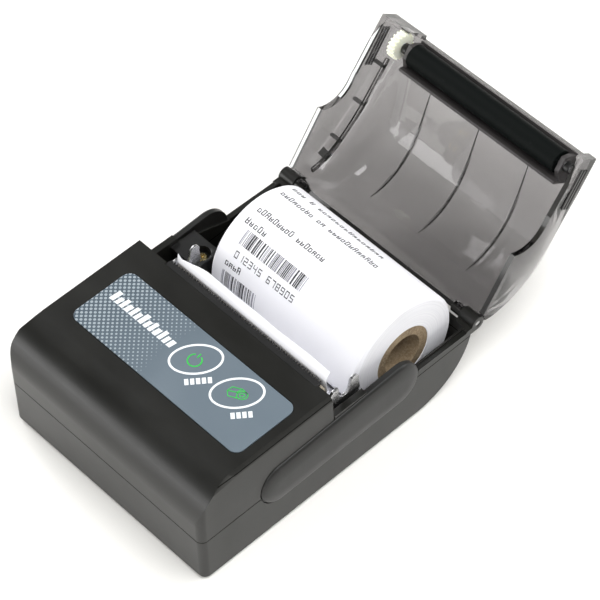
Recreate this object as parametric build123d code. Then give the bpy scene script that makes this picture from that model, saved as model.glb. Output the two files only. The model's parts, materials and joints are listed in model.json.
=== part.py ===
"""Portable 58 mm receipt printer with its paper cover open.

Millimetres, +Z up, X across the width, the front face towards -Y. The origin is on the
underside, midway along the body. Outlines are (d, z) pairs: d is the distance behind the
front face and z the height above the table. The cover and all it carries are drawn shut,
then swung open about the hinge, because the open cover is the rest pose.
"""
from build123d import *
import math
import os

# Body
HALF = 38.5
FRONT = -51.5
TOP = 35.6
PARTING = 16.2
TOP_BACK = 47.7
WALL = 2.0
CORNER_R = 2.2
NOSE_R = 13.0
TAIL_D, TAIL_Z, TAIL_R = 78.5, 22.0, 22.0
WALL_TOP = [(48.2, 26.9), (59.8, 26.7), (60.6, 25.0), (78.6, 18.7), (98.2, 18.2)]
LIP_Z = 19.1
GAP = 0.3

# Cover and hinge
HINGE_D, HINGE_Z = 101.8, 18.8
OPEN_ANGLE = 127.4
BARREL_R = 2.2
LUG_R = 1.7
PIN_R = 0.9
KNUCKLE_IN = 33.0
LUG_IN = 29.6
COVER_FRONT = 49.5
RECESS_D = 50.5
RIM_Z = 19.4
COVER_WALL = 1.6
EDGE_LINE = [(COVER_FRONT, 35.4), (54.5, 35.4), (61.0, 35.3), (68.5, 34.9), (76.0, 34.4), (82.5, 33.3),
             (88.4, 31.8), (93.3, 29.6), (97.0, 26.9), (99.4, 24.3), (100.8, 21.6)]
HUMP_LINE = [(COVER_FRONT, 35.6), (54.5, 36.9), (61.0, 38.9), (68.0, 41.1), (75.0, 43.0), (82.2, 43.8),
             (89.3, 42.5), (95.3, 39.1), (99.6, 34.0), (102.2, 28.0), (103.0, 21.6)]

# Paper
PAPER_W = 57.0
ROLL_X, ROLL_D, ROLL_Z, ROLL_R = 4.5, 78.6, 20.9, 18.6
ROLL_SOFT = 1.0
CORE_R, CORE_BORE = 9.4, 6.4
WEB_D = 50.1
WEB_T = 0.12

# Print mechanism
PLATEN_D, PLATEN_Z, PLATEN_R = 54.3, 29.9, 3.5
PLATEN_X0, PLATEN_X1 = -24.0, 32.0
SHAFT_R = 1.0
GEAR_M = 0.4
PLATEN_TEETH, IDLER_TEETH, PINION_TEETH = 20, 30, 12
GEAR_X0, GEAR_X1 = -30.8, -28.4
EAR_LEFT, EAR_RIGHT = -27.6, 35.0
EAR_T = 0.8
TEAR_X0, TEAR_X1 = -26.2, 32.8

# Side grips: the outline is wrapped round two circles
GRIP_FRONT = (28.2, 17.6, 6.9)
GRIP_BACK = (71.3, 18.9, 7.4)
GRIP_OUT = 1.4
GRIP_ROUND = 5.0
GRIP_IN = 0.7

# Controls
LABEL = (-31.1, 34.6, 17.0, 38.8)
LABEL_R = 2.8
KEYS = {"power": (4.1, 30.9), "feed": (20.0, 31.0)}
KEY_LONG, KEY_SHORT, KEY_TURN = 7.1, 4.6, 51.0
OVERLAY_Z0, OVERLAY_Z1 = 35.35, 35.75

# Boards and battery
PCB_Z0, PCB_Z1 = 11.3, 12.5
KEYBOARD_Z0, KEYBOARD_Z1 = 27.6, 28.6
CASE_POSTS = [(-34.6, 6.5), (34.6, 6.5), (-34.6, 39.5), (34.6, 39.5)]
DOOR_HALF, DOOR_D0, DOOR_D1 = 26.0, 6.0, 43.0
FRAME_SCREWS = [(-28.8, 61.8), (-30.8, 90.0)]
FRAME_SEAT = (22.6, 18.0)
DECK_Z = 25.4
PCB_SCREWS = [(-25.5, 24.0), (25.5, 24.0)]
KEYBOARD_POSTS = [(-2.8, 23.8), (26.8, 23.8)]
DOOR_SCREW_D = (8.3, 40.7)
USB_D, USB_Z = 15.0, PCB_Z1 + 1.55
MECH_SCREWS = [(-22.0, 49.2), (29.0, 49.2)]


def block(x0, x1, d0, d1, z0, z1):
    """Box between two corners."""
    centre = Pos((x0 + x1) / 2, FRONT + (d0 + d1) / 2, (z0 + z1) / 2)
    return centre * Box(x1 - x0, d1 - d0, z1 - z0)


def rod(x0, x1, d, z, r):
    """Cylinder along X."""
    return Pos((x0 + x1) / 2, FRONT + d, z) * Rot(0, 90, 0) * Cylinder(r, x1 - x0)


def post(x, d, z0, z1, r):
    """Cylinder along Z."""
    return Pos(x, FRONT + d, (z0 + z1) / 2) * Cylinder(r, z1 - z0)


def plate(outline, x0, x1):
    """Straight-sided (d, z) outline, drawn out along X."""
    wire = Polyline([(x0, FRONT + d, z) for d, z in outline], close=True)
    return extrude(make_face(wire), x1 - x0, dir=(1, 0, 0))


def both_sides(shape):
    """The shape and its mirror image across the YZ plane."""
    return shape + mirror(shape, about=Plane.YZ)


def open_cover(shape):
    """Swing a part from the closed cover to the open rest pose."""
    hinge = Axis((0, FRONT + HINGE_D, HINGE_Z), (1, 0, 0))
    return shape.rotate(hinge, -OPEN_ANGLE)


def arc_points(d, z, r, start, end, steps):
    """Points on an arc in the (d, z) plane; angles in degrees from the +d axis."""
    angles = [math.radians(start + (end - start) * i / steps) for i in range(steps + 1)]
    return [(d + r * math.cos(a), z + r * math.sin(a)) for a in angles]


def tail_arc(inset, z_end, steps=14):
    """Rounded underside of the paper bay, from the flat bottom up to height z_end."""
    r = TAIL_R - inset
    end = math.degrees(math.asin((z_end - TAIL_Z) / r))
    return arc_points(TAIL_D, TAIL_Z, r, -90, end, steps)


# ---------------------------------------------------------------- side grips

def grip_outline(grow):
    """Side view of the grip, grown by a margin."""
    d1, z1, r1 = GRIP_FRONT
    d2, z2, r2 = GRIP_BACK
    tilt = math.degrees(math.atan2(z2 - z1, d2 - d1))
    lean = math.degrees(math.asin((r2 - r1) / math.hypot(d2 - d1, z2 - z1)))
    up = tilt + 90 + lean
    down = tilt - 90 - lean
    outline = arc_points(d1, z1, r1 + grow, up, down + 360, 20)
    outline += arc_points(d2, z2, r2 + grow, down, up, 20)
    return outline


def grip_hull(grow, x0, x1):
    """Grip outline drawn out along X."""
    return plate(grip_outline(grow), x0, x1)


def grip_pillow():
    """Rounded outside of the grip, from the wall face outwards."""
    faces = []
    for angle in range(0, 91, 15):
        turn = math.radians(angle)
        x = HALF - 0.01 + GRIP_OUT * math.sin(turn)
        outline = grip_outline(-GRIP_ROUND * (1 - math.cos(turn)))
        faces.append(make_face(Polyline([(x, FRONT + d, z) for d, z in outline], close=True)))
    return loft(faces, ruled=True)


def side_grip():
    """Right grip: a rounded pad outside the wall with a tongue that closes the gap over it."""
    pad = grip_hull(0, HALF - GRIP_IN + 0.05, HALF) + grip_pillow()
    tongue = grip_hull(0, HALF - 1.5, HALF - GRIP_IN + 0.06)
    d_back = WALL_TOP[-2][0]
    over_wall = [(d, z + 0.1) for d, z in WALL_TOP]
    above = plate(over_wall + [(98.2, 60), (48.2, 60)], 0, HALF + 3)
    tongue = tongue & above & block(30, 40, 48.4, d_back + 2, 0, 60)
    return pad + tongue


# ---------------------------------------------------------------- case

def body_outline(inset):
    """Side view of the bottom case, set in from its outer faces."""
    wall_top = [(d, z) for d, z in reversed(WALL_TOP)]
    back = tail_arc(inset, 17.4)
    front_top = [(48.2, PARTING), (inset, PARTING)]
    if inset:
        wall_top = [(98.2, 30), (49.9, 30)]
        back = tail_arc(inset, 21.0) + [(98.4, 30)]
        front_top = [(inset, 30)]
    return [(inset, inset)] + back + wall_top + front_top


def bottom_case():
    """Lower tray, with the rounded paper bay behind and a hinge knuckle at each rear corner."""
    shell = plate(body_outline(0), -HALF, HALF)
    uprights = shell.edges().filter_by(Axis.Z).group_by(Axis.Y)[0]
    shell = fillet(uprights, CORNER_R)
    shell = chamfer(shell.faces().sort_by(Axis.Z)[0].edges(), 0.8)
    shell += knuckles()
    shell -= plate(body_outline(WALL), -HALF + WALL, HALF - WALL)
    shell += both_sides(block(HALF - WALL, HALF - WALL + 0.6, 79.5, 98.0, 16, LIP_Z))
    for x, d in CASE_POSTS:
        shell += post(x, d, WALL - 0.1, 11.7, 3.4)
        shell -= post(x, d, -1, 9.2, 2.6)
        shell -= post(x, d, 9, 13, 1.5)
    for (x, d), seat in zip(FRAME_SCREWS, FRAME_SEAT):
        shell += post(x, d, WALL, seat - 3.7, 1.9) & plate(body_outline(0.5), -HALF, HALF)
    for x, d in FRAME_SCREWS:
        shell -= post(x, d, 6, 20, 1.15)
    for x, d in PCB_SCREWS:
        shell += post(x, d, WALL - 0.1, PCB_Z0 - 0.02, 2.0)
        shell -= post(x, d, 5, 12, 0.85)
    shell -= door_recess()
    for d in DOOR_SCREW_D:
        shell += block(-3, 3, d - 2.2, d + 2.2, 1.2, 4.0)
        shell -= post(0, d, 0.5, 5, 0.9)
    shell -= rod(-50, 50, HINGE_D, HINGE_Z, PIN_R + 0.02)
    shell -= both_sides(rod(LUG_IN - GAP, KNUCKLE_IN, HINGE_D, HINGE_Z, LUG_R + GAP))
    shell -= both_sides(grip_hull(0.35, HALF - GRIP_IN, HALF + 2))
    shell -= block(-40, -30, USB_D - 4.6, USB_D + 4.6, USB_Z - 1.9, USB_Z + 1.9)
    return shell


def knuckles():
    """Two short hinge barrels with the ledges that join them to the rear wall."""
    barrel = rod(KNUCKLE_IN, HALF, HINGE_D, HINGE_Z, BARREL_R)
    ledge = block(KNUCKLE_IN, HALF, 97.4, HINGE_D, HINGE_Z - BARREL_R, HINGE_Z)
    return both_sides(barrel + ledge)


def door_recess():
    """Battery opening in the floor, with the ledge its door sits on."""
    recess = block(-DOOR_HALF, DOOR_HALF, DOOR_D0, DOOR_D1, -1, 1.2)
    return recess + block(-DOOR_HALF + 1.5, DOOR_HALF - 1.5, DOOR_D0 + 4.6, DOOR_D1 - 4.6, 0, 3)


def nose_outline(inset, floor):
    """Side view of the top case with its rounded front."""
    nose = arc_points(NOSE_R, TOP - NOSE_R, NOSE_R - inset, 180, 90, 12)
    if inset:
        return [(inset, floor)] + nose + [(TOP_BACK + 5, TOP - inset), (TOP_BACK + 5, floor)]
    return [(0, floor)] + nose + [(TOP_BACK, TOP), (TOP_BACK + 0.2, floor)]


def top_case():
    """Front lid over the electronics, with key holes and a seat for the label."""
    shell = plate(nose_outline(0, PARTING + 0.15), -HALF, HALF)
    uprights = shell.edges().filter_by(Axis.Z).group_by(Axis.Y)[0]
    shell = fillet(uprights, CORNER_R)
    long_edges = shell.faces().sort_by(Axis.Z)[-1].edges().filter_by(Axis.Y)
    shell = chamfer(long_edges, 1.9, 1.1)
    shell -= both_sides(block(HALF - 0.3, HALF + 1, NOSE_R, TOP_BACK + 1, TOP - 1.4, TOP - 1.15))
    shell -= plate(nose_outline(WALL, 0), -HALF + WALL, HALF - WALL)
    for x, d in CASE_POSTS:
        room = plate(nose_outline(WALL - 0.1, 0), -HALF + WALL + 0.1, HALF - WALL - 0.1)
        shell += post(x, d, 12.0, TOP - WALL + 0.1, 2.9) & room
        shell -= post(x, d, 11, 24, 1.25)
    for x, d in KEYBOARD_POSTS:
        shell += post(x, d, KEYBOARD_Z1 + 0.02, TOP - WALL + 0.1, 1.8)
        shell -= post(x, d, KEYBOARD_Z1 - 1, 32, 1.05)
    x0, x1, d0, d1 = LABEL
    seat = block(x0 - 0.25, x1 + 0.25, d0 - 0.25, d1 + 0.25, OVERLAY_Z0 - 0.02, TOP + 1)
    shell -= fillet(seat.edges().filter_by(Axis.Z), LABEL_R + 0.25)
    for x, d in KEYS.values():
        shell -= key_prism(x, d, GAP, 30, 40)
    shell -= block(TEAR_X0 - 0.1, TEAR_X1 + 0.1, 45.0, 50, 33.0, 34.9)
    shell -= block(TEAR_X0 - 0.1, TEAR_X1 + 0.1, 46.9, 50, 33.0, 37)
    shell -= both_sides(grip_hull(0.35, HALF - GRIP_IN, HALF + 2))
    return shell


def key_prism(x, d, grow, z0, z1):
    """Oval key section, turned on the label."""
    oval = Ellipse(KEY_LONG + grow, KEY_SHORT + grow)
    return extrude(Pos(x, FRONT + d, z0) * Rot(0, 0, KEY_TURN) * oval, z1 - z0)


def tear_bar():
    """Serrated strip along the back edge of the top case."""
    pitch = 1.0
    count = int((TEAR_X1 - TEAR_X0) / pitch)
    outline = [(TEAR_X0, 47.0), (TEAR_X0, 48.5)]
    for i in range(count):
        x = TEAR_X0 + i * pitch
        outline += [(x + pitch / 2, 49.5), (x + pitch, 48.5)]
    outline.append((TEAR_X1, 47.0))
    wire = Polyline([(x, FRONT + d, 34.6) for x, d in outline], close=True)
    teeth = extrude(make_face(wire), 0.9, dir=(0, 0, 1))
    return teeth + block(TEAR_X0, TEAR_X1, 45.2, 48.4, 33.7, 34.8)


# ---------------------------------------------------------------- controls

def control_overlay():
    """Printed label over the top case, with an oval window for each key."""
    x0, x1, d0, d1 = LABEL
    sheet = block(x0, x1, d0, d1, OVERLAY_Z0, OVERLAY_Z1)
    sheet = fillet(sheet.edges().filter_by(Axis.Z), LABEL_R)
    for x, d in KEYS.values():
        sheet -= key_prism(x, d, GAP, 30, 40)
    return sheet


def key_cap(x, d):
    """Key with a retaining flange and a stem that rests on its switch."""
    cap = key_prism(x, d, 0, 33.0, OVERLAY_Z1)
    flange = key_prism(x, d, 0.8, 32.2, 33.2)
    return cap + flange + post(x, d, 31.15, 32.3, 1.4)


def tact_switches():
    """One switch under each key."""
    pair = Part()
    for x, d in KEYS.values():
        pair += block(x - 2.6, x + 2.6, d - 2.6, d + 2.6, KEYBOARD_Z1, KEYBOARD_Z1 + 1.6)
        pair += post(x, d, KEYBOARD_Z1 + 1.5, KEYBOARD_Z1 + 1.9, 1.2)
    return pair


def key_board():
    """Small board that carries the two switches."""
    board = block(-5, 29, 21.5, 38.5, KEYBOARD_Z0, KEYBOARD_Z1)
    for x, d in KEYBOARD_POSTS:
        board -= post(x, d, 20, 35, 1.1)
    return board


def key_board_screws():
    """Screws that hold the key board under the lid."""
    return merge(screw_down(x, d, KEYBOARD_Z0, 1.9, 1.0, 4.0, up=True) for x, d in KEYBOARD_POSTS)


# ---------------------------------------------------------------- fasteners

def merge(shapes):
    """Group of separate solids in one node."""
    group = Part()
    for shape in shapes:
        group += shape
    return group


def screw_down(x, d, z_seat, head_r, shank_r, length, up=False, head_h=1.4):
    """Pan-head cross-slot screw seated at z_seat; up=True drives it from below."""
    head = post(0, 0, 0, head_h, head_r)
    head = chamfer(head.faces().sort_by(Axis.Z)[-1].edges(), head_h * 0.25)
    slot = block(-head_r * 0.6, head_r * 0.6, -0.22, 0.22, head_h * 0.5, 2)
    head = head - slot - slot.rotate(Axis((0, FRONT, 0), (0, 0, 1)), 90)
    body = head + post(0, 0, -length, 0.1, shank_r)
    if up:
        body = body.rotate(Axis((0, FRONT, 0), (1, 0, 0)), 180)
    return Pos(x, d, z_seat) * body


def case_screws():
    """Four long screws from below into the top case."""
    return merge(screw_down(x, d, 9.15, 2.3, 1.2, 10, up=True) for x, d in CASE_POSTS)


def frame_screws():
    """Brass-plated screws in the wells of the inner frame."""
    pairs = zip(FRAME_SCREWS, FRAME_SEAT)
    return merge(screw_down(x, d, z, 1.7, 1.1, 7.0) for (x, d), z in pairs)


def pcb_screws():
    """Screws that hold the main board on its posts."""
    return merge(screw_down(x, d, PCB_Z1, 1.6, 0.8, 5.0) for x, d in PCB_SCREWS)


def door_screws():
    """Small screws of the battery door."""
    return merge(screw_down(0, d, 0.62, 1.5, 0.85, 2.4, True, 0.55) for d in DOOR_SCREW_D)


# ---------------------------------------------------------------- battery and boards

def battery_door():
    """Flush plate under the battery."""
    plate_d0, plate_d1 = DOOR_D0 + 0.2, DOOR_D1 - 0.2
    door = block(-DOOR_HALF + 0.2, DOOR_HALF - 0.2, plate_d0, plate_d1, 0.05, 1.15)
    for d in DOOR_SCREW_D:
        door -= post(0, d, -1, 0.65, 1.8)
        door -= post(0, d, -1, 3, 1.0)
    for i in range(5):
        d = 20 + i * 2.2
        door -= block(-8, 8, d, d + 1.0, -1, 0.4)
    return door


def battery_pack():
    """Flat two-cell lithium pack."""
    pack = block(-23.2, 23.2, 11.0, 38.0, 2.3, 10.6)
    return fillet(pack.edges().filter_by(Axis.Y), 1.5)


def battery_contacts():
    """Three leaf contacts between the pack and the main board."""
    leaves = Part()
    for i in range(3):
        x = -12 + i * 4
        leaves += block(x, x + 1.6, 38.05, 38.35, 5.5, PCB_Z0 - 0.02)
        leaves += block(x, x + 1.6, 38.05, 41.0, PCB_Z0 - 0.32, PCB_Z0 - 0.02)
    return leaves


def main_pcb():
    """Main board above the battery."""
    board = block(-28.6, 28.6, 4.0, 45.0, PCB_Z0, PCB_Z1)
    for x, d in PCB_SCREWS:
        board -= post(x, d, 5, 20, 1.0)
    return board


def pcb_parts():
    """Processor, motor driver, radio module, capacitors and sockets."""
    z = PCB_Z1
    parts = block(-6, 4, 18, 28, z, z + 1.2)
    parts += block(8, 14, 30, 36, z, z + 1.2)
    parts += block(10, 24, 6, 18, z, z + 2.2)
    parts += block(-20, -14, 6, 18, z, z + 4.5)
    parts += block(-10, 2, 40.2, 44.6, z, z + 2.6)
    for i in range(3):
        parts += post(19 + i * 3.4, 40, z, z + 5.5, 1.5)
    return parts


def usb_port():
    """Charging socket at the board's left edge, facing out through the wall."""
    shell = block(-36.9, -27.2, USB_D - 4.2, USB_D + 4.2, USB_Z - 1.5, USB_Z + 1.5)
    shell -= block(-40, -29.0, USB_D - 3.7, USB_D + 3.7, USB_Z - 1.1, USB_Z + 1.1)
    return shell + block(-36.2, -28.5, USB_D - 2.6, USB_D + 2.6, USB_Z - 0.3, USB_Z + 0.3)


def key_cable():
    """Flat cable from the main board up to the key board."""
    lower = block(-9.0, -8.7, 30, 36, PCB_Z1 + 0.02, KEYBOARD_Z0 - 0.4)
    return lower + block(-9.0, -1.0, 30, 36, KEYBOARD_Z0 - 0.45, KEYBOARD_Z0 - 0.15)


# ---------------------------------------------------------------- print mechanism

def ear_outline():
    """Side plate of the mechanism, with the open slot that takes the platen."""
    d, z = PLATEN_D, PLATEN_Z
    slot = [(d - 1.9, 32.6)] + arc_points(d, z, 1.9, 180, 360, 10)
    slot += [(d + 1.95, z), (d + 2.5, 32.0)]
    finger = arc_points(d + 4.0, 31.2, 1.5, 120, -30, 8)
    back = [(60.0, 27.0), (58.0, 22.0), (55.0, 19.4)]
    return [(43.6, 18.2), (43.6, 24.6), (50.4, 32.6)] + slot + finger + back + [(55.0, 18.2)]


def motor_plate_outline():
    """Forward part of the left plate, which carries the gear train and the motor."""
    d, z = PINION_AT
    return [(d - 7.5, z - 4), (d - 7.5, z + 3), (d - 4, z + 7), (d + 3, z + 7.4), (48, 30),
            (48, 18.2), (44, 14.2), (d - 3, 13.4)]


def gear_spot(start, teeth_a, teeth_b, angle, extra):
    """Centre of a mating gear at a direction from the first gear's centre."""
    reach = GEAR_M * (teeth_a + teeth_b) / 2 + extra
    a = math.radians(angle)
    return (start[0] + reach * math.cos(a), start[1] + reach * math.sin(a))


IDLER_AT = gear_spot((PLATEN_D, PLATEN_Z), PLATEN_TEETH, IDLER_TEETH, 230, 1.1)
PINION_AT = gear_spot(IDLER_AT, IDLER_TEETH, PINION_TEETH, 200, 0.0)


def mechanism_frame():
    """Two plated side plates joined by a cross web under the print head."""
    left = plate(ear_outline(), EAR_LEFT, EAR_LEFT + EAR_T)
    left += plate(motor_plate_outline(), EAR_LEFT, EAR_LEFT + EAR_T)
    left -= rod(-29, -26, *PINION_AT, 1.0)
    left -= rod(-29, -26, *IDLER_AT, 0.93)
    right = plate(ear_outline(), EAR_RIGHT, EAR_RIGHT + EAR_T)
    web = block(EAR_LEFT, EAR_RIGHT + EAR_T, 46.6, 51.4, 18.0, 18.8)
    web += block(-12.4, EAR_RIGHT + EAR_T, 43.2, 44.0, 18.0, 31.0)
    web += block(-12.4, EAR_RIGHT + EAR_T, 43.2, 47.0, 18.0, 18.8)
    web -= block(-6.5, 2.5, 45.2, 46.3, 17, 20)
    for x, d in MECH_SCREWS:
        web -= post(x, d, 10, 25, 1.1)
    return left + right + web


def mechanism_screws():
    """Screws that fix the mechanism to the inner frame."""
    return merge(screw_down(x, d, 18.8, 1.6, 0.95, 4.0) for x, d in MECH_SCREWS)


def thermal_head():
    """Ceramic print head with its raised heater line, facing the platen."""
    line = block(-24, 32, 49.5, 49.72, PLATEN_Z - 0.5, PLATEN_Z + 0.5)
    return block(-25, 33.5, 48.7, 49.6, 21.5, 33.2) + line


def head_heatsink():
    """Aluminium bar behind the print head."""
    bar = block(-12.2, 33.5, 47.4, 48.68, 21.6, 33.2)
    return bar + block(-25, -12.2, 47.6, 48.68, 22.5, 33.2)


def head_springs():
    """Two coil springs that press the head against the platen."""
    pair = Part()
    for x in (-2, 22):
        coil = Helix(pitch=0.8, height=2.8, radius=1.6)
        start = Plane(origin=coil @ 0, z_dir=coil % 0)
        spring = sweep(start * Circle(0.22), path=coil)
        pair += Pos(x, FRONT + 44.25, 26) * Rot(-90, 0, 0) * spring
    return pair


def head_flex():
    """Flat cable from the head down to the main board."""
    drop = block(-6, 2, 45.6, 45.85, 15.4, 21.3)
    return drop + block(-6, 2, 45.6, 49.5, 21.15, 21.4) + block(-6, 2, 43.0, 45.85, 15.3, 15.55)


def gear(teeth, x0, x1, at, phase, bore, backlash=0.0):
    """Spur gear along X with straight-flanked teeth; phase in degrees."""
    pitch_r = GEAR_M * teeth / 2
    tip, root = pitch_r + 0.8 * GEAR_M, pitch_r - 1.1 * GEAR_M
    step = 2 * math.pi / teeth
    outline = []
    for i in range(teeth):
        a = math.radians(phase) + i * step
        half_root, half_tip = step * 0.36 - backlash, step * 0.14
        for r, off in ((root, -half_root), (tip, -half_tip), (tip, half_tip), (root, half_root)):
            outline.append((at[0] + r * math.cos(a + off), at[1] + r * math.sin(a + off)))
    return plate(outline, x0, x1) - rod(x0 - 1, x1 + 1, *at, bore)


def stepper_motor():
    """Round stepper with its shaft through the left plate."""
    d, z = PINION_AT
    can = rod(EAR_LEFT + EAR_T + 0.02, -14.5, d, z, 5.6)
    return can + rod(-31.2, -26.0, d, z, 0.75)


def motor_pinion():
    """Pinion on the motor shaft."""
    return gear(PINION_TEETH, GEAR_X0, GEAR_X1, PINION_AT, 20, 0.8, 0.03)


def idler_gear():
    """Gear between the motor pinion and the platen gear."""
    half_step = 180 / IDLER_TEETH
    return gear(IDLER_TEETH, GEAR_X0, GEAR_X1, IDLER_AT, 200 + half_step, 0.95, 0.02)


def idler_pin():
    """Fixed axle of the idler gear."""
    return rod(-31.3, -26.4, *IDLER_AT, 0.9) + rod(-31.7, -31.2, *IDLER_AT, 1.6)


def paper_sensor():
    """Reflective sensor in the slanted guide."""
    return block(0.5, 4.5, 51.0, 53.0, 16.0, 17.9)


# ---------------------------------------------------------------- inner frame

def inner_frame():
    """Guide, left wall and screw deck round the paper bay."""
    guide = plate([(51.6, 17.98), (51.6, 20.9), (65.9, 5.4), (65.9, 2.05), (64.5, 2.05), (64.5, 4.8),
                   (53.2, 16.8), (46.4, 16.8), (46.4, 17.98)], -25.8, 34.8)
    bay_front = [(51.8, 22.0), (51.8, DECK_Z), (66.0, DECK_Z), (98.0, 18.2)]
    side = plate(bay_front + tail_arc(WALL + 0.06, 17.4)[::-1] + [(64.5, 2.1), (64.5, 8.0)],
                 -26.7, -25.6)
    deck = block(-36.4, -25.6, 57.2, 66.0, DECK_Z - 1.6, DECK_Z)
    deck += block(-36.4, -25.6, 86.0, 94.0, 17.0, 19.2)
    wells = post(*FRAME_SCREWS[0], 19.0, DECK_Z, 3.4) + post(*FRAME_SCREWS[1], 14.4, 19.2, 3.4)
    frame = guide + side + deck + wells
    for (x, d), z in zip(FRAME_SCREWS, FRAME_SEAT):
        frame -= post(x, d, z - 0.05, 30, 2.7)
        frame -= post(x, d, 10, 30, 1.25)
    for x, d in MECH_SCREWS:
        frame -= post(x, d, 10, 25, 1.0)
    frame -= block(EAR_LEFT - GAP, EAR_LEFT + EAR_T + 0.08, 50, 60.4, 15, 30)
    return frame - block(0.4, 4.6, 50.9, 53.1, 15.9, 18.0)


# ---------------------------------------------------------------- cover

def inset_line(line, amount):
    """Move an outline inwards, towards the inside of the curve."""
    moved = []
    last = len(line) - 1
    for i, (d, z) in enumerate(line):
        before, after = line[max(i - 1, 0)], line[min(i + 1, last)]
        run, rise = after[0] - before[0], after[1] - before[1]
        length = math.hypot(run, rise)
        moved.append((d + amount * rise / length, z - amount * run / length))
    return moved


def blend_lines(weight, lower, upper):
    """Outline between the edge line (0) and the hump line (1)."""
    pairs = zip(lower, upper)
    return [(a[0] + (b[0] - a[0]) * weight, a[1] + (b[1] - a[1]) * weight) for a, b in pairs]


def cover_section(x, line, floor):
    """Closed face at one X, under a smooth outline."""
    points = [(x, FRONT + d, z) for d, z in line]
    curve = Spline(points)
    under = Polyline([points[-1], (x, points[-1][1], floor), (x, points[0][1], floor), points[0]])
    return make_face([curve, under])


OUTER_STEPS = [(-38.5, -0.12), (-37.4, 0.0), (-33.6, 0.03), (-32.4, 0.12), (-31.0, 0.42),
               (-29.6, 0.76), (-28.2, 0.95), (-26.6, 1.0), (32.8, 1.0), (33.9, 0.94),
               (35.2, 0.77), (36.6, 0.48), (37.8, 0.2), (38.5, 0.0)]


def cover_outer():
    """Outer envelope: low side ledges that rise into the hump over the roll."""
    faces = []
    for x, weight in OUTER_STEPS:
        faces.append(cover_section(x, blend_lines(weight, EDGE_LINE, HUMP_LINE), 17.5))
    return loft(faces, ruled=True)


def cover_inner():
    """Space under the cover."""
    edge = inset_line(EDGE_LINE, COVER_WALL)
    hump = inset_line(HUMP_LINE, COVER_WALL)
    edge[0] = (RECESS_D, edge[0][1])
    hump[0] = (RECESS_D, hump[0][1])
    faces = []
    for x, weight in OUTER_STEPS[1:-1]:
        shift = COVER_WALL * 0.5 if x < 0 else -COVER_WALL * 0.5
        faces.append(cover_section(x + shift, blend_lines(max(weight, 0), edge, hump), 5))
    return loft(faces, ruled=True)


def cover_ribs():
    """Three slim ribs inside the hump and the ribs under the left ledge."""
    inside = inset_line(HUMP_LINE, COVER_WALL * 0.5)[3:9]
    lower = inset_line(HUMP_LINE, COVER_WALL + 0.5)[3:9]
    ribs = merge(plate(inside + lower[::-1][1:-1], x - 0.35, x + 0.35) for x in (-18.5, 0.5, 19.5))
    shelf = inset_line(EDGE_LINE, COVER_WALL * 0.5)[2:10]
    drop = inset_line(EDGE_LINE, COVER_WALL + 1.3)[2:10]
    ribs += plate(shelf + drop[::-1], -33.6, -32.8)
    for d, z in ((63.5, 33.2), (76.0, 32.3), (88.0, 29.9)):
        ribs += block(-37.6, -33.2, d - 0.4, d + 0.4, z - 0.7, z + 1.2)
    return ribs


def cover():
    """Smoked clear lid over the paper bay."""
    shell = cover_outer() - cover_inner()
    shell += cover_ribs()
    shell -= grip_hull(1.3, -60, 60)
    shell -= plate([(40, 29.0), (50, 28.7), (58, 28.2), (68, 27.7), (68, 0), (40, 0)], -60, 60)
    shell -= block(-60, 60, 66, 110, 0, RIM_Z)
    shell -= both_sides(rod(KNUCKLE_IN - GAP, 60, HINGE_D, HINGE_Z, BARREL_R + 0.4))
    shell += both_sides(rod(LUG_IN, KNUCKLE_IN - GAP, HINGE_D, HINGE_Z, LUG_R))
    shell -= both_sides(rod(LUG_IN + 0.5, 60, HINGE_D, HINGE_Z, PIN_R + 0.05))
    shell -= block(TEAR_X0 - 0.3, 35.6, 40, RECESS_D, 0, 60)
    shell -= block(EAR_LEFT - 0.4, EAR_RIGHT + EAR_T + 0.4, 40, RECESS_D, 0, 33.2)
    gear_room = GEAR_M * (PLATEN_TEETH / 2 + 0.8) + 0.35
    shell -= rod(GEAR_X0 - 0.4, GEAR_X1 + 0.4, PLATEN_D, PLATEN_Z, gear_room)
    for i in range(3):
        z = 30.9 + i * 1.3
        shell += both_sides(block(HALF - 0.5, HALF + 0.35, 53.0, 65.5, z - 0.3, z + 0.3))
    return open_cover(shell)


def hinge_pins():
    """Two steel pins through the knuckles into the cover's lugs."""
    return both_sides(rod(LUG_IN + 0.8, HALF - 0.2, HINGE_D, HINGE_Z, PIN_R))


def holder_closed():
    """Trough over the platen, with an end cheek at each side."""
    d, z = PLATEN_D, PLATEN_Z
    back = [(50.7, 33.0), (50.7, 33.8), (60.1, 36.1), (60.4, 28.9), (59.6, 28.6), (56.9, 34.2)]
    trough = plate(back, -25.8, 33.8)
    cheek = [(51.4, 33.5), (51.4, 30.5), (52.2, 28.0), (56.4, 28.0), (59.8, 30.9), (59.8, 35.0)]
    cheeks = plate(cheek, -25.9, -24.5) + plate(cheek, 32.5, 33.9)
    return trough + cheeks - rod(-60, 60, d, z, SHAFT_R + 0.06)


def platen_holder():
    """Black bracket that carries the platen under the cover's front edge."""
    return open_cover(holder_closed())


def platen_shaft():
    """Steel shaft of the platen."""
    return open_cover(rod(-31.4, 36.1, PLATEN_D, PLATEN_Z, SHAFT_R))


def platen_roller():
    """Rubber sleeve that drives the paper."""
    sleeve = rod(PLATEN_X0, PLATEN_X1, PLATEN_D, PLATEN_Z, PLATEN_R)
    return open_cover(sleeve - rod(-60, 60, PLATEN_D, PLATEN_Z, SHAFT_R))


def platen_gear():
    """Moulded gear on the left end of the platen shaft."""
    wheel = gear(PLATEN_TEETH, GEAR_X0, GEAR_X1, (PLATEN_D, PLATEN_Z), 0, SHAFT_R)
    return open_cover(wheel)


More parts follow.
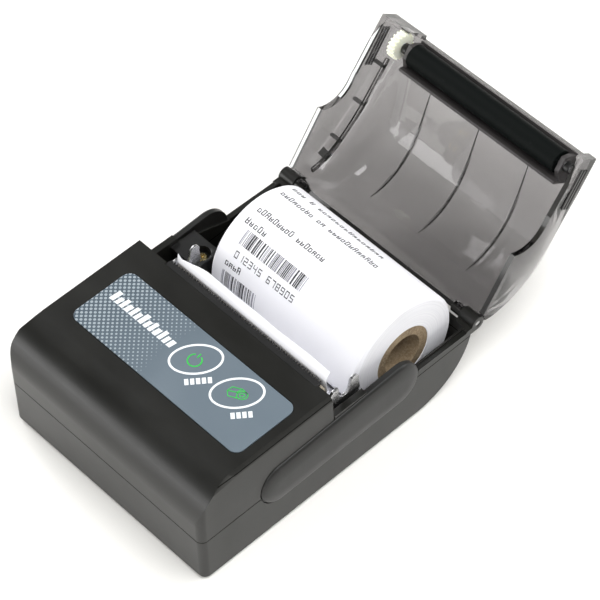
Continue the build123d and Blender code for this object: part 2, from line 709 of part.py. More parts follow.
def platen_bushings():
    """Two bushes that drop into the slots of the mechanism."""
    sleeves = rod(-27.9, -26.2, PLATEN_D, PLATEN_Z, 1.6) + rod(34.3, 35.9, PLATEN_D, PLATEN_Z, 1.6)
    return open_cover(sleeves - rod(-60, 60, PLATEN_D, PLATEN_Z, SHAFT_R + 0.05))


# ---------------------------------------------------------------- paper

def paper_roll():
    """Wound paper round its core, its ends pressed soft at the rim."""
    x0, x1 = ROLL_X - PAPER_W / 2, ROLL_X + PAPER_W / 2
    wound = chamfer(rod(x0, x1, ROLL_D, ROLL_Z, ROLL_R).edges().filter_by(GeomType.CIRCLE), ROLL_SOFT)
    return wound - rod(-60, 60, ROLL_D, ROLL_Z, CORE_R + 0.02)


def paper_core():
    """Card tube in the middle of the roll."""
    x0, x1 = ROLL_X - PAPER_W / 2 + 0.2, ROLL_X + PAPER_W / 2 - 0.2
    return rod(x0, x1, ROLL_D, ROLL_Z, CORE_R) - rod(-60, 60, ROLL_D, ROLL_Z, CORE_BORE)


def paper_web():
    """Free paper from the roll up through the slot, its end over the tear bar."""
    lower = (65.0, 7.75)
    path = [(WEB_D, 23.4), (WEB_D, 35.5), (WEB_D - 0.5, 39.0)]
    back = [(d + WEB_T, z) for d, z in reversed(path)]
    strip = plate([lower] + path + back + [(lower[0] + WEB_T, lower[1] + 0.05)],
                  ROLL_X - PAPER_W / 2, ROLL_X + PAPER_W / 2)
    return strip


PARTS = {
    "bottom_case": bottom_case, "top_case": top_case, "inner_frame": inner_frame,
    "tear_bar": tear_bar, "control_overlay": control_overlay, "key_board": key_board,
    "tact_switches": tact_switches, "key_board_screws": key_board_screws,
    "case_screws": case_screws, "frame_screws": frame_screws, "pcb_screws": pcb_screws,
    "battery_door": battery_door, "door_screws": door_screws, "battery_pack": battery_pack,
    "battery_contacts": battery_contacts, "main_pcb": main_pcb, "pcb_parts": pcb_parts,
    "usb_port": usb_port, "key_cable": key_cable, "mechanism_frame": mechanism_frame,
    "mechanism_screws": mechanism_screws, "thermal_head": thermal_head,
    "head_heatsink": head_heatsink, "head_springs": head_springs, "head_flex": head_flex,
    "stepper_motor": stepper_motor, "motor_pinion": motor_pinion, "idler_gear": idler_gear,
    "idler_pin": idler_pin, "paper_sensor": paper_sensor, "cover": cover,
    "hinge_pins": hinge_pins, "platen_holder": platen_holder, "platen_shaft": platen_shaft,
    "platen_roller": platen_roller, "platen_gear": platen_gear,
    "platen_bushings": platen_bushings, "paper_roll": paper_roll, "paper_core": paper_core,
    "paper_web": paper_web,
}


def main():
    os.makedirs("parts", exist_ok=True)
    for name, make in PARTS.items():
        export_step(make(), f"parts/{name}.step")
    export_step(side_grip(), "parts/side_grip_right.step")
    export_step(mirror(side_grip(), about=Plane.YZ), "parts/side_grip_left.step")
    for name, (x, d) in KEYS.items():
        export_step(key_cap(x, d), f"parts/{name}_button.step")


main()
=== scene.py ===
"""Looks of the portable receipt printer: materials, printed graphics, the free paper and the studio."""
import json
import math
import random

import bmesh
import bpy
from mathutils import Matrix, Vector

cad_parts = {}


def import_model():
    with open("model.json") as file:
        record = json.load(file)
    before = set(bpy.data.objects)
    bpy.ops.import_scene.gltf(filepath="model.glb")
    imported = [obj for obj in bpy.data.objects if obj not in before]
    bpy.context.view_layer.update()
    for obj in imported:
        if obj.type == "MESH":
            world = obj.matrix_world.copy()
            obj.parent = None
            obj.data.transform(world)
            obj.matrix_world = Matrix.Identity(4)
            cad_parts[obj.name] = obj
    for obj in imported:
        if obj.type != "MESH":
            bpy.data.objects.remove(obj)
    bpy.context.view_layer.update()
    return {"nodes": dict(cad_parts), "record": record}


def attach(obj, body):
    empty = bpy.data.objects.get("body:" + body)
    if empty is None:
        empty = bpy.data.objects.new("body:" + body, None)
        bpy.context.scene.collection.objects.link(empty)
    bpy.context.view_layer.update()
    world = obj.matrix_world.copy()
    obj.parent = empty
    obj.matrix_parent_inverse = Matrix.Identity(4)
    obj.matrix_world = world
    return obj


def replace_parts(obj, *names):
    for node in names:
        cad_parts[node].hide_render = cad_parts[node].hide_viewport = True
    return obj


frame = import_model()
NODES = frame["nodes"]

MM = 0.001
FRONT = -51.5            # the case's front face, in mm; d is measured back from it
LABEL_TOP = 35.75        # top of the label film, mm
LABEL_MID = 28.5         # middle of the label, as a distance behind the front face
PARTING_Z = 16.2         # height of the joint between the case halves, mm
SEAM_Z = 34.32           # height of the groove under the top face, mm
SIDE_X = 38.5            # outside of the cover's walls, mm
PAINTED_RIM_GLINT = (0.3, 1.25)    # painted highlight stripe on the left rim, standing in for a reflection, measured in from the wall's outside
DOT_PITCH = 1.22         # between the dots printed on the label, mm
LAYER_PITCH = 0.28       # between the rings on the roll's ends, mm
CARD_LEAD = 28.0         # advance of the core's spiral seam in one turn, mm
SHARP = math.radians(35)                                  # turn of a surface that counts as an edge
ROLL_X, ROLL_D, ROLL_Z, ROLL_R = 4.5, 78.6, 20.9, 18.6    # middle of the roll and its radius, mm
PAPER_HALF = 28.5                                         # half the roll's width, mm
KEYS = {"power_key": (4.1, 30.9), "feed_key": (20.0, 31.0)}    # middle of each key: x and d
KEY_TURN = math.radians(51)                               # turn of the drawings on the keys
COVER_HINGE = (101.8, 18.8)                               # axis of the cover: d and height
OPEN_TURN = math.radians(127.4)                           # how far the cover stands open at rest
RIM_TOP = 28.5                                            # top of the rim when the cover is shut, mm
RIM_FACING = -0.8                                         # how far down a face of the rim looks then


def at(x, d, z):
    """Point in metres from x, distance behind the front face, and height, in mm."""
    return Vector((x * MM, (FRONT + d) * MM, z * MM))


# ------------------------------------------------------------------ materials

class Nodes:
    """Small helper to wire a node material."""

    def __init__(self, name):
        self.mat = bpy.data.materials.new(name)
        self.mat.use_nodes = True
        self.tree = self.mat.node_tree
        self.shader = self.tree.nodes["Principled BSDF"]
        self.coord = self.tree.nodes.new("ShaderNodeTexCoord").outputs["Object"]

    def node(self, kind, **inputs):
        """New node; names with a leading underscore are its settings, the others its inputs."""
        made = self.tree.nodes.new(kind)
        for key, value in inputs.items():
            if key.startswith("_"):
                setattr(made, key[1:], value)
        for key, value in inputs.items():
            if not key.startswith("_"):
                self.put(made.inputs[self.find(made, key)], value)
        return made

    @staticmethod
    def find(made, key):
        """Number of an input, from its name or from i and its number."""
        names = [s.name.replace(" ", "_") for s in made.inputs]
        return int(key[1:]) if key[0] == "i" and key[1:].isdigit() else names.index(key)

    def put(self, socket, value):
        """Link or set one input."""
        if isinstance(value, bpy.types.NodeSocket):
            self.tree.links.new(value, socket)
        else:
            socket.default_value = value

    def math(self, operation, a, b=0.0):
        """One step of arithmetic."""
        return self.node("ShaderNodeMath", _operation=operation, i0=a, i1=b).outputs[0]

    def split(self, vector):
        """The three parts of a vector."""
        return self.node("ShaderNodeSeparateXYZ", Vector=vector).outputs

    def length(self, a, b):
        """Length of the vector with the parts a and b."""
        return self.math("SQRT", self.math("ADD", self.math("MULTIPLY", a, a), self.math("MULTIPLY", b, b)))

    def normal(self):
        """The three parts of the surface's normal."""
        return self.split(self.node("ShaderNodeNewGeometry").outputs["Normal"])

    def from_roll(self):
        """Distances from the roll's axis, backwards and upwards."""
        parts = self.split(self.coord)
        back = self.math("SUBTRACT", parts[1], (FRONT + ROLL_D) * MM)
        return back, self.math("SUBTRACT", parts[2], ROLL_Z * MM)

    def noise(self, scale, detail=4.0, rough=0.55, stretch=None):
        """Noise over the surface; stretch squeezes it along x, y and z."""
        coord = self.coord
        if stretch:
            coord = self.node("ShaderNodeMapping", Vector=self.coord, Scale=stretch).outputs[0]
        made = self.node("ShaderNodeTexNoise", Vector=coord, Scale=scale, Detail=detail, Roughness=rough)
        return made.outputs["Fac"]

    def remap(self, value, low, high, to_low, to_high):
        """Value moved from one range to another, held at its ends."""
        made = self.node("ShaderNodeMapRange", Value=value, From_Min=low, From_Max=high,
                         To_Min=to_low, To_Max=to_high)
        return made.outputs[0]

    def mix(self, fac, a, b):
        """Colour between a and b."""
        made = self.node("ShaderNodeMix", _data_type="RGBA")
        self.put(made.inputs[0], fac)
        for socket, value in ((made.inputs[6], a), (made.inputs[7], b)):
            self.put(socket, value if isinstance(value, bpy.types.NodeSocket) else (*value, 1.0))
        return made.outputs[2]

    def bump(self, height, distance):
        """Normal for a relief of the given height."""
        return self.node("ShaderNodeBump", Height=height, Distance=distance, Strength=1.0).outputs[0]

    def set(self, **values):
        """Link or set inputs of the surface shader."""
        for key, value in values.items():
            socket = self.shader.inputs[key.replace("_", " ")]
            if isinstance(value, tuple) and len(value) == 3:
                value = (*value, 1.0)
            self.put(socket, value)


def joint_lines(n):
    """1 inside the shadow gaps that run level round the case, 0 elsewhere."""
    height_here = n.split(n.coord)[2]
    lines = 0.0
    for height, half in ((PARTING_Z, 0.16), (SEAM_Z, 0.13)):
        away = n.math("ABSOLUTE", n.math("SUBTRACT", height_here, height * MM))
        lines = n.math("MAXIMUM", lines, n.math("LESS_THAN", away, half * MM))
    upright = n.math("LESS_THAN", n.math("ABSOLUTE", n.normal()[2]), 0.5)
    return n.math("MULTIPLY", lines, upright)


def plastic(name, colour, light, rough, grain=0.0, scale=900.0, joints=False):
    """Moulded plastic: faint cloudy colour, uneven gloss and a fine spark-eroded grain."""
    n = Nodes(name)
    cloud = n.noise(60.0)
    fine = n.noise(scale, 2.0, 0.6)
    smear = n.noise(25.0, 5.0, 0.6, (1, 2.5, 1))
    n.set(Base_Color=n.mix(n.remap(cloud, 0.3, 0.7, 0.0, 1.0), colour, light))
    n.set(Roughness=n.remap(smear, 0.3, 0.7, rough - 0.05, rough + 0.06))
    if grain:
        n.set(Normal=n.bump(fine, grain * MM))
    if joints:
        n.set(Specular_IOR_Level=n.remap(joint_lines(n), 0.0, 1.0, 0.5, 0.0))
    return n.mat


def metal(name, colour, rough, stretch=(1, 1, 1)):
    """Metal with drawn or turned lines and cloudy roughness."""
    n = Nodes(name)
    lines = n.noise(700.0, 3.0, 0.7, stretch)
    cloud = n.noise(120.0)
    darker = tuple(c * 0.72 for c in colour)
    n.set(Base_Color=n.mix(n.remap(cloud, 0.35, 0.7, 0.0, 1.0), darker, colour), Metallic=1.0)
    n.set(Roughness=n.remap(lines, 0.3, 0.7, rough - 0.07, rough + 0.09))
    n.set(Normal=n.bump(lines, 0.012 * MM))
    return n.mat


def label_film():
    """Printed film: slate blue with a halftone field of dots that fades to the right, and darker towards
    the left as a painted reflection gradient.
    """
    n = Nodes("label_film")
    parts = n.split(n.coord)
    x = n.math("DIVIDE", parts[0], MM)
    d = n.math("SUBTRACT", n.math("DIVIDE", parts[1], MM), FRONT)
    diagonal = DOT_PITCH * math.sqrt(2)
    du = n.math("SUBTRACT", n.math("FRACT", n.math("DIVIDE", n.math("ADD", x, d), diagonal)), 0.5)
    dv = n.math("SUBTRACT", n.math("FRACT", n.math("DIVIDE", n.math("SUBTRACT", x, d), diagonal)), 0.5)
    far = n.length(du, dv)
    from_mid = n.math("ABSOLUTE", n.math("SUBTRACT", d, LABEL_MID))
    # x, bent so that the dots reach further right towards the front and the back
    edge = n.math("ADD", x, n.math("MULTIPLY", from_mid, -0.25))
    size = n.remap(edge, -28.0, -4.0, 0.34, 0.16)
    # painted reflection: the film's colour darkens towards the left and lightens towards the right, as the
    # light falls on it
    painted_reflection_fade = n.remap(edge, -34.0, 0.0, 0.0, 1.0)
    inside = n.remap(edge, -8.5, -5.0, 1.0, 0.0)
    dots = n.math("MULTIPLY", n.math("LESS_THAN", far, size), inside)
    wash = n.remap(n.noise(45.0), 0.3, 0.7, 0.0, 1.0)
    base = n.mix(wash, (0.118, 0.152, 0.182), (0.135, 0.17, 0.2))
    base = n.mix(painted_reflection_fade, (0.055, 0.078, 0.10), base)
    n.set(Base_Color=n.mix(n.math("MULTIPLY", dots, 0.75), base, (0.42, 0.48, 0.52)))
    n.set(Roughness=n.remap(n.noise(30.0, 5.0), 0.3, 0.7, 0.3, 0.4))
    n.set(Normal=n.bump(n.noise(1400.0, 2.0), 0.004 * MM))
    return n.mat


def smoke_clear():
    """Smoked clear polycarbonate, slightly rippled."""
    n = Nodes("smoke_clear")
    tint = n.mix(n.noise(35.0), (0.27, 0.262, 0.265), (0.33, 0.32, 0.325))
    n.set(Base_Color=tint, Transmission_Weight=1.0, IOR=1.49)
    n.set(Roughness=n.remap(n.noise(20.0, 5.0), 0.3, 0.7, 0.02, 0.07))
    n.set(Normal=n.bump(n.noise(60.0, 2.0), 0.003 * MM))
    return n.mat


def smoke_edge_painted_glint():
    """Cut rim of the cover: nearly black edge on, with a painted highlight stripe along the left wall in
    place of a reflection.
    """
    n = Nodes("smoke_edge_painted_glint")
    x = n.split(n.coord)[0]
    inner = n.math("LESS_THAN", x, (PAINTED_RIM_GLINT[1] - SIDE_X) * MM)
    outer = n.math("GREATER_THAN", x, (PAINTED_RIM_GLINT[0] - SIDE_X) * MM)
    # painted highlight: a pale grey stripe on the rim near the left wall, standing in for the reflection of
    # the light there
    left = n.math("MULTIPLY", inner, outer)
    wash = n.remap(n.noise(90.0), 0.3, 0.7, 0.0, 1.0)
    dark = n.mix(wash, (0.010, 0.010, 0.009), (0.022, 0.021, 0.019))
    n.set(Base_Color=n.mix(left, dark, (0.8, 0.8, 0.8)), Roughness=n.remap(wash, 0.0, 1.0, 0.12, 0.2))
    n.set(Normal=n.bump(n.noise(400.0), 0.004 * MM))
    return n.mat


def paper(name, tone, wound):
    """Thermal paper; a wound roll shows its layers as fine rings on the ends."""
    n = Nodes(name)
    fibre = n.noise(2200.0, 3.0, 0.6)
    cloud = n.noise(70.0, 3.0)
    height = fibre
    depth = 0.004
    colour = n.mix(cloud, tuple(c * 0.985 for c in tone), tone)
    if wound:
        radius = n.length(*n.from_roll())
        wave = n.math("SINE", n.math("MULTIPLY", radius, 2 * math.pi / (LAYER_PITCH * MM)))
        band = n.node("ShaderNodeTexNoise", _noise_dimensions="1D", W=radius, Scale=2600.0, Detail=3.0)
        end = n.math("GREATER_THAN", n.math("ABSOLUTE", n.normal()[0]), 0.7)
        rings = n.math("MULTIPLY", n.math("ADD", wave, n.math("MULTIPLY", band.outputs["Fac"], 3.0)), end)
        colour = n.mix(n.math("MULTIPLY", end, n.remap(band.outputs["Fac"], 0.35, 0.65, 0.1, 0.4)),
                       colour, (0.66, 0.66, 0.72))
        height = n.math("ADD", fibre, rings)
        depth = 0.012
    n.set(Base_Color=colour, Roughness=n.remap(cloud, 0.3, 0.7, 0.42, 0.55))
    n.set(Normal=n.bump(height, depth * MM), Sheen_Weight=0.05)
    return n.mat


def card():
    """Grey-brown wound card with flecks and a spiral seam."""
    n = Nodes("card")
    fleck = n.noise(1500.0, 5.0, 0.7)
    cloud = n.noise(180.0)
    base = n.mix(n.remap(cloud, 0.3, 0.7, 0.0, 1.0), (0.16, 0.11, 0.06), (0.30, 0.22, 0.13))
    n.set(Base_Color=n.mix(n.remap(fleck, 0.45, 0.75, 0.0, 0.7), base, (0.46, 0.38, 0.27)))
    back, above = n.from_roll()
    turn = n.math("DIVIDE", n.math("ARCTAN2", above, back), 2 * math.pi)
    seam = n.math("FRACT", n.math("ADD", turn, n.math("DIVIDE", n.split(n.coord)[0], CARD_LEAD * MM)))
    groove = n.math("LESS_THAN", seam, 0.03)
    n.set(Roughness=n.remap(fleck, 0.3, 0.7, 0.75, 0.95))
    n.set(Normal=n.bump(n.math("SUBTRACT", fleck, groove), 0.05 * MM))
    return n.mat


def rubber():
    """Ground rubber sleeve with fine turning lines round it and dust."""
    n = Nodes("platen_rubber")
    lines = n.noise(500.0, 3.0, 0.7, (6, 1, 1))
    dust = n.noise(260.0, 6.0, 0.75)
    n.set(Base_Color=n.mix(n.remap(dust, 0.62, 0.8, 0.0, 0.3), (0.001, 0.0022, 0.0019), (0.06, 0.06, 0.06)))
    n.set(Roughness=n.remap(lines, 0.3, 0.7, 0.5, 0.66), Normal=n.bump(lines, 0.008 * MM))
    n.set(Specular_IOR_Level=0.1)
    return n.mat


def nylon():
    """Cream moulded nylon that lets a little light in."""
    n = Nodes("gear_nylon")
    n.set(Base_Color=n.mix(n.noise(300.0), (0.86, 0.88, 0.68), (0.94, 0.95, 0.84)))
    n.set(Roughness=n.remap(n.noise(90.0), 0.3, 0.7, 0.35, 0.5), Subsurface_Weight=0.15)
    n.set(Subsurface_Radius=Vector((0.8, 0.7, 0.4)), Subsurface_Scale=MM)
    n.set(Normal=n.bump(n.noise(800.0), 0.01 * MM))
    return n.mat


def board():
    """Green solder mask with faint copper tracks under it."""
    n = Nodes("circuit_board")
    cells = n.node("ShaderNodeTexVoronoi", Vector=n.coord, Scale=450.0, _feature="DISTANCE_TO_EDGE")
    track = n.remap(cells.outputs["Distance"], 0.04, 0.08, 1.0, 0.0)
    n.set(Base_Color=n.mix(n.math("MULTIPLY", track, 0.5), (0.012, 0.11, 0.05), (0.03, 0.2, 0.08)))
    n.set(Roughness=n.remap(n.noise(60.0), 0.3, 0.7, 0.22, 0.34), Normal=n.bump(track, 0.02 * MM))
    return n.mat


def ink(name, colour, rough=0.5, mottled=0.15):
    """Printed ink, slightly uneven."""
    n = Nodes(name)
    lighter = tuple(min(1.0, c + mottled) for c in colour)
    n.set(Base_Color=n.mix(n.remap(n.noise(1200.0, 4.0), 0.45, 0.75, 0.0, 0.6), colour, lighter))
    n.set(Roughness=n.remap(n.noise(400.0), 0.3, 0.7, rough - 0.08, rough + 0.08))
    return n.mat


SLOTS = {
    "case_black": plastic("case_black", (0.0065, 0.0065, 0.0055), (0.009, 0.009, 0.0075), 0.32, 0.010,
                          joints=True),
    "grip_black": plastic("grip_black", (0.0075, 0.0075, 0.007), (0.010, 0.010, 0.0095), 0.38, 0.016),
    "frame_black": plastic("frame_black", (0.006, 0.006, 0.006), (0.009, 0.009, 0.009), 0.38, 0.010),
    "black_parts": plastic("black_parts", (0.012, 0.012, 0.013), (0.03, 0.03, 0.03), 0.5, 0.02),
    "label_film": label_film(),
    "smoke_clear": smoke_clear(),
    "steel": metal("steel", (0.62, 0.62, 0.63), 0.28, (1, 1, 8)),
    "zinc": metal("zinc", (0.66, 0.67, 0.68), 0.2),
    "brass": metal("brass", (0.80, 0.66, 0.34), 0.22),
    "aluminium": metal("aluminium", (0.72, 0.72, 0.73), 0.35, (8, 1, 1)),
    "head_ceramic": plastic("head_ceramic", (0.42, 0.36, 0.26), (0.5, 0.45, 0.36), 0.2),
    "platen_rubber": rubber(),
    "gear_nylon": nylon(),
    "paper": paper("paper_sheet", (0.87, 0.87, 0.90), False),
    "card": card(),
    "circuit_board": board(),
    "battery_wrap": plastic("battery_wrap", (0.02, 0.05, 0.16), (0.03, 0.07, 0.2), 0.25, 0.02, 300.0),
    "flat_cable": plastic("flat_cable", (0.42, 0.2, 0.04), (0.5, 0.27, 0.06), 0.3, 0.01),
}
ROLL_PAPER = paper("roll_paper", (0.88, 0.88, 0.91), True)
BLACK_INK = ink("black_ink", (0.02, 0.02, 0.025))
GREY_INK = ink("grey_ink", (0.28, 0.28, 0.32))
WHITE_INK = ink("white_ink", (0.80, 0.83, 0.85), 0.4, 0.05)
GREEN_INK = ink("green_ink", (0.03, 0.50, 0.06), 0.4, 0.05)
RIB_DARK = plastic("rib_dark", (0.03, 0.03, 0.028), (0.06, 0.06, 0.057), 0.2)
# black plastic painted a lighter grey than the other blacks: a painted reflection of the light on the
# holder's sloped inner wall
HOLDER_BLACK_PAINTED_SHEEN = plastic("holder_black_painted_sheen", (0.035, 0.032, 0.032), (0.055, 0.05, 0.05), 0.42, 0.01)
SMOKE_EDGE_PAINTED_GLINT = smoke_edge_painted_glint()


def mark_rim(obj):
    """Give the rim of the open cover and the ridges on its walls their own material."""
    obj.data.materials.append(SMOKE_EDGE_PAINTED_GLINT)
    cos, sin = math.cos(OPEN_TURN), math.sin(OPEN_TURN)
    pivot = at(0, *COVER_HINGE)
    for polygon in obj.data.polygons:
        away = polygon.center - pivot
        shut = away.z * cos + away.y * sin
        facing = polygon.normal.z * cos + polygon.normal.y * sin
        ridge = abs(polygon.center.x) > (SIDE_X + 0.05) * MM
        if ridge or (facing < RIM_FACING and shut + pivot.z < RIM_TOP * MM):
            polygon.material_index = 1


def soften(obj, width):
    """Smooth the tessellated faces and put a small highlight on real edges."""
    weld = obj.modifiers.new("weld", "WELD")
    weld.merge_threshold = 0.002 * MM
    for polygon in obj.data.polygons:
        polygon.use_smooth = True
    if width:
        bevel = obj.modifiers.new("bevel", "BEVEL")
        bevel.width = width * MM
        bevel.segments = 2
        bevel.limit_method = "ANGLE"
        bevel.angle_limit = SHARP
        normals = obj.modifiers.new("normals", "WEIGHTED_NORMAL")
        normals.weight = 80
    else:
        split = obj.modifiers.new("split", "EDGE_SPLIT")
        split.split_angle = SHARP


# width of the highlight along each part's edges, mm
EDGES = {"bottom_case": 0.12, "top_case": 0.12, "side_grip_left": 0.15, "side_grip_right": 0.15,
         "inner_frame": 0.12, "mechanism_frame": 0.08, "platen_holder": 0.12, "tear_bar": 0.03,
         "paper_roll": 0.12, "paper_core": 0.08, "platen_roller": 0.15, "platen_gear": 0.05,
         "platen_bushings": 0.08, "control_overlay": 0.05, "power_button": 0.05, "feed_button": 0.05,
         "usb_port": 0.06, "battery_door": 0.08}

slot_of = {s["node"]: s["material_slot"] for s in frame["record"]["subparts"]}
for name, obj in NODES.items():
    chosen = {"paper_roll": ROLL_PAPER, "platen_holder": HOLDER_BLACK_PAINTED_SHEEN}.get(name, SLOTS[slot_of[name]])
    obj.data.materials.clear()
    obj.data.materials.append(chosen)
    if name == "cover":
        mark_rim(obj)
    soften(obj, EDGES.get(name, 0))


# ------------------------------------------------------------------ pieces

def piece(name, bm, mat, body):
    """Turn a bmesh into a named piece that rides on a body."""
    mesh = bpy.data.meshes.new(name)
    bm.normal_update()
    bm.to_mesh(mesh)
    bm.free()
    mesh.materials.append(mat)
    obj = bpy.data.objects.new(name, mesh)
    bpy.context.scene.collection.objects.link(obj)
    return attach(obj, body)


def slab(bm, loop, z0, z1, to_point):
    """Closed prism from a loop of 2-D points; to_point maps (u, v, height) to space."""
    low = [bm.verts.new(to_point(u, v, z0)) for u, v in loop]
    high = [bm.verts.new(to_point(u, v, z1)) for u, v in loop]
    bm.faces.new(list(reversed(low)))
    bm.faces.new(high)
    count = len(loop)
    for i in range(count):
        j = (i + 1) % count
        bm.faces.new((low[i], low[j], high[j], high[i]))


def strip(bm, inner, outer, z0, z1, to_point, closed=True):
    """Ribbon between two outlines with the same number of points."""
    rings = []
    for outline, z in ((inner, z0), (inner, z1), (outer, z1), (outer, z0)):
        rings.append([bm.verts.new(to_point(u, v, z)) for u, v in outline])
    count = len(inner)
    for i in range(count if closed else count - 1):
        j = (i + 1) % count
        for a in range(4):
            b = (a + 1) % 4
            bm.faces.new((rings[a][i], rings[a][j], rings[b][j], rings[b][i]))
    if not closed:
        for i in (0, count - 1):
            bm.faces.new([rings[a][i] for a in range(4)])


def on_key(body):
    """Map of label drawing coordinates, turned with the key, to space."""
    x0, d0 = KEYS[body]
    cos, sin = math.cos(KEY_TURN), math.sin(KEY_TURN)
    return lambda u, v, h: at(x0 + u * cos - v * sin, d0 + u * sin + v * cos, LABEL_TOP + h)


def on_label(u, v, h):
    """Map of x and distance behind the front to the label's face."""
    return at(u, v, LABEL_TOP + h)


def on_roll(x, arc, h):
    """Map of x and arc length round the roll to the paper's surface."""
    angle = arc / ROLL_R
    r = ROLL_R + h
    return at(x, ROLL_D + r * math.cos(angle), ROLL_Z + r * math.sin(angle))


def arc_line(centre, rx, ry, start, end, steps, offset=0.0):
    """Points along an oval, between two angles in degrees."""
    points = []
    for i in range(steps + 1):
        a = math.radians(start + (end - start) * i / steps)
        points.append((centre[0] + (rx + offset) * math.cos(a), centre[1] + (ry + offset) * math.sin(a)))
    return points


def stroke(bm, points, width, z0, z1, to_point):
    """Flat line of constant width through 2-D points."""
    left, right = [], []
    for i, p in enumerate(points):
        a, b = points[max(i - 1, 0)], points[min(i + 1, len(points) - 1)]
        run, rise = b[0] - a[0], b[1] - a[1]
        length = math.hypot(run, rise)
        n = (-rise / length * width / 2, run / length * width / 2)
        left.append((p[0] + n[0], p[1] + n[1]))
        right.append((p[0] - n[0], p[1] - n[1]))
    strip(bm, left, right, z0, z1, to_point, closed=False)


INK_LOW, INK_HIGH = -0.02, 0.05    # underside and top of the ink over the label, mm
RING_LOW = 0.004                   # underside of the rings, which lie over the gap round a key
RING = ((-0.1, 0), 7.15, 4.8)      # middle and half-lengths of the oval
RING_HALF = 0.32                   # half the width of its line
MARK_LINE, DRAWING_LINE = 0.36, 0.26


def key_rings():
    """White oval round each key."""
    bm = bmesh.new()
    for body in KEYS:
        inner = arc_line(*RING, 0, 360, 96, -RING_HALF)[:-1]
        outer = arc_line(*RING, 0, 360, 96, RING_HALF)[:-1]
        strip(bm, inner, outer, RING_LOW, INK_HIGH, on_key(body))
    return piece("key_rings", bm, WHITE_INK, "case")


def power_mark():
    """Round line with a short bar: the usual standby sign."""
    bm = bmesh.new()
    put = on_key("power_key")
    stroke(bm, arc_line((-0.45, -0.3), 1.95, 2.05, 78, 382, 48), MARK_LINE, INK_LOW, INK_HIGH, put)
    stroke(bm, [(0.25, 0.5), (1.35, 1.6)], MARK_LINE, INK_LOW, INK_HIGH, put)
    return piece("power_mark", bm, GREEN_INK, "power_key")


def feed_mark():
    """Line drawing of a paper roll with its end hanging out."""
    bm = bmesh.new()
    put = on_key("feed_key")
    lines = [arc_line((1.15, -0.95), 1.5, 1.25, 0, 360, 32), arc_line((1.15, -0.95), 0.7, 0.55, 0, 360, 24),
             [(-0.1, -1.7), (-2.6, -0.6), (-2.6, 1.2), (-1.2, 2.2), (1.4, 1.1), (2.55, -0.5)],
             [(-2.6, 1.2), (-0.2, 0.3), (0.3, -0.2)], [(-0.2, 0.3), (1.4, 1.1)]]
    for line in lines:
        stroke(bm, line, DRAWING_LINE, INK_LOW, INK_HIGH, put)
    return piece("feed_mark", bm, GREEN_INK, "feed_key")


def label_marks():
    """Plain blocks in place of wording: a row of leaning bars and a short row under each key."""
    bm = bmesh.new()
    x = -28.0
    low, lean, gap = 28.4, 0.35, 0.55
    for i, tall in enumerate((3.6, 2.5, 3.3, 2.5, 3.3, 2.5, 3.6, 2.5, 3.3, 2.5, 3.3, 2.5, 2.5)):
        wide = 1.25 if i % 3 else 1.5
        corners = [(x, low), (x + wide, low), (x + wide + lean, low + tall), (x + lean, low + tall)]
        slab(bm, corners, INK_LOW, INK_HIGH, on_label)
        x += wide + gap
    low, tall, wide, step = -8.3, 2.0, 1.1, 1.55
    for body, count, start in (("power_key", 5, -3.6), ("feed_key", 4, -2.3)):
        for i in range(count):
            u = start + i * step
            corners = [(u, low), (u + wide, low), (u + wide, low + tall), (u, low + tall)]
            slab(bm, corners, INK_LOW, INK_HIGH, on_key(body))
    return piece("label_marks", bm, WHITE_INK, "case")


SEGMENTS = {"0": "abcdef", "1": "bc", "2": "abged", "3": "abgcd", "4": "fgbc", "5": "afgcd",
            "6": "afgedc", "7": "abc", "8": "abcdefg", "9": "gfabcd"}
SEGMENT_BOX = {"a": (0, 0, 1, 0.13), "b": (0.85, 0, 1, 0.5), "c": (0.85, 0.5, 1, 1), "d": (0, 0.87, 1, 1),
               "e": (0, 0.5, 0.15, 1), "f": (0, 0, 0.15, 0.5), "g": (0, 0.44, 1, 0.56)}

PRINT_LOW, PRINT_HIGH = 0.004, 0.035    # underside and top of the print over the roll, mm
PRINT_STEP = 0.5                        # longest straight run of print round the roll, mm
STROKE = 0.3                            # width of the upright strokes in a row, mm
STROKE_AT = 0.85                        # from the first stroke of a block to the second
LEVEL = 0.26                            # height of the level strokes
LEFT_OUT, LOWER = 0.08, 0.65            # shares of the blocks left out and of those made lower


def roll_box(bm, x0, x1, s0, s1):
    """Small inked block on the roll, following its curve."""
    steps = max(1, math.ceil((s1 - s0) / PRINT_STEP))
    corners = ((x0, PRINT_LOW), (x1, PRINT_LOW), (x1, PRINT_HIGH), (x0, PRINT_HIGH))
    rings = []
    for i in range(steps + 1):
        arc = s0 + (s1 - s0) * i / steps
        rings.append([bm.verts.new(on_roll(x, arc, h)) for x, h in corners])
    for low, high in zip(rings, rings[1:]):
        for a in range(4):
            b = (a + 1) % 4
            bm.faces.new((low[a], low[b], high[b], high[a]))
    bm.faces.new(list(reversed(rings[0])))
    bm.faces.new(rings[-1])


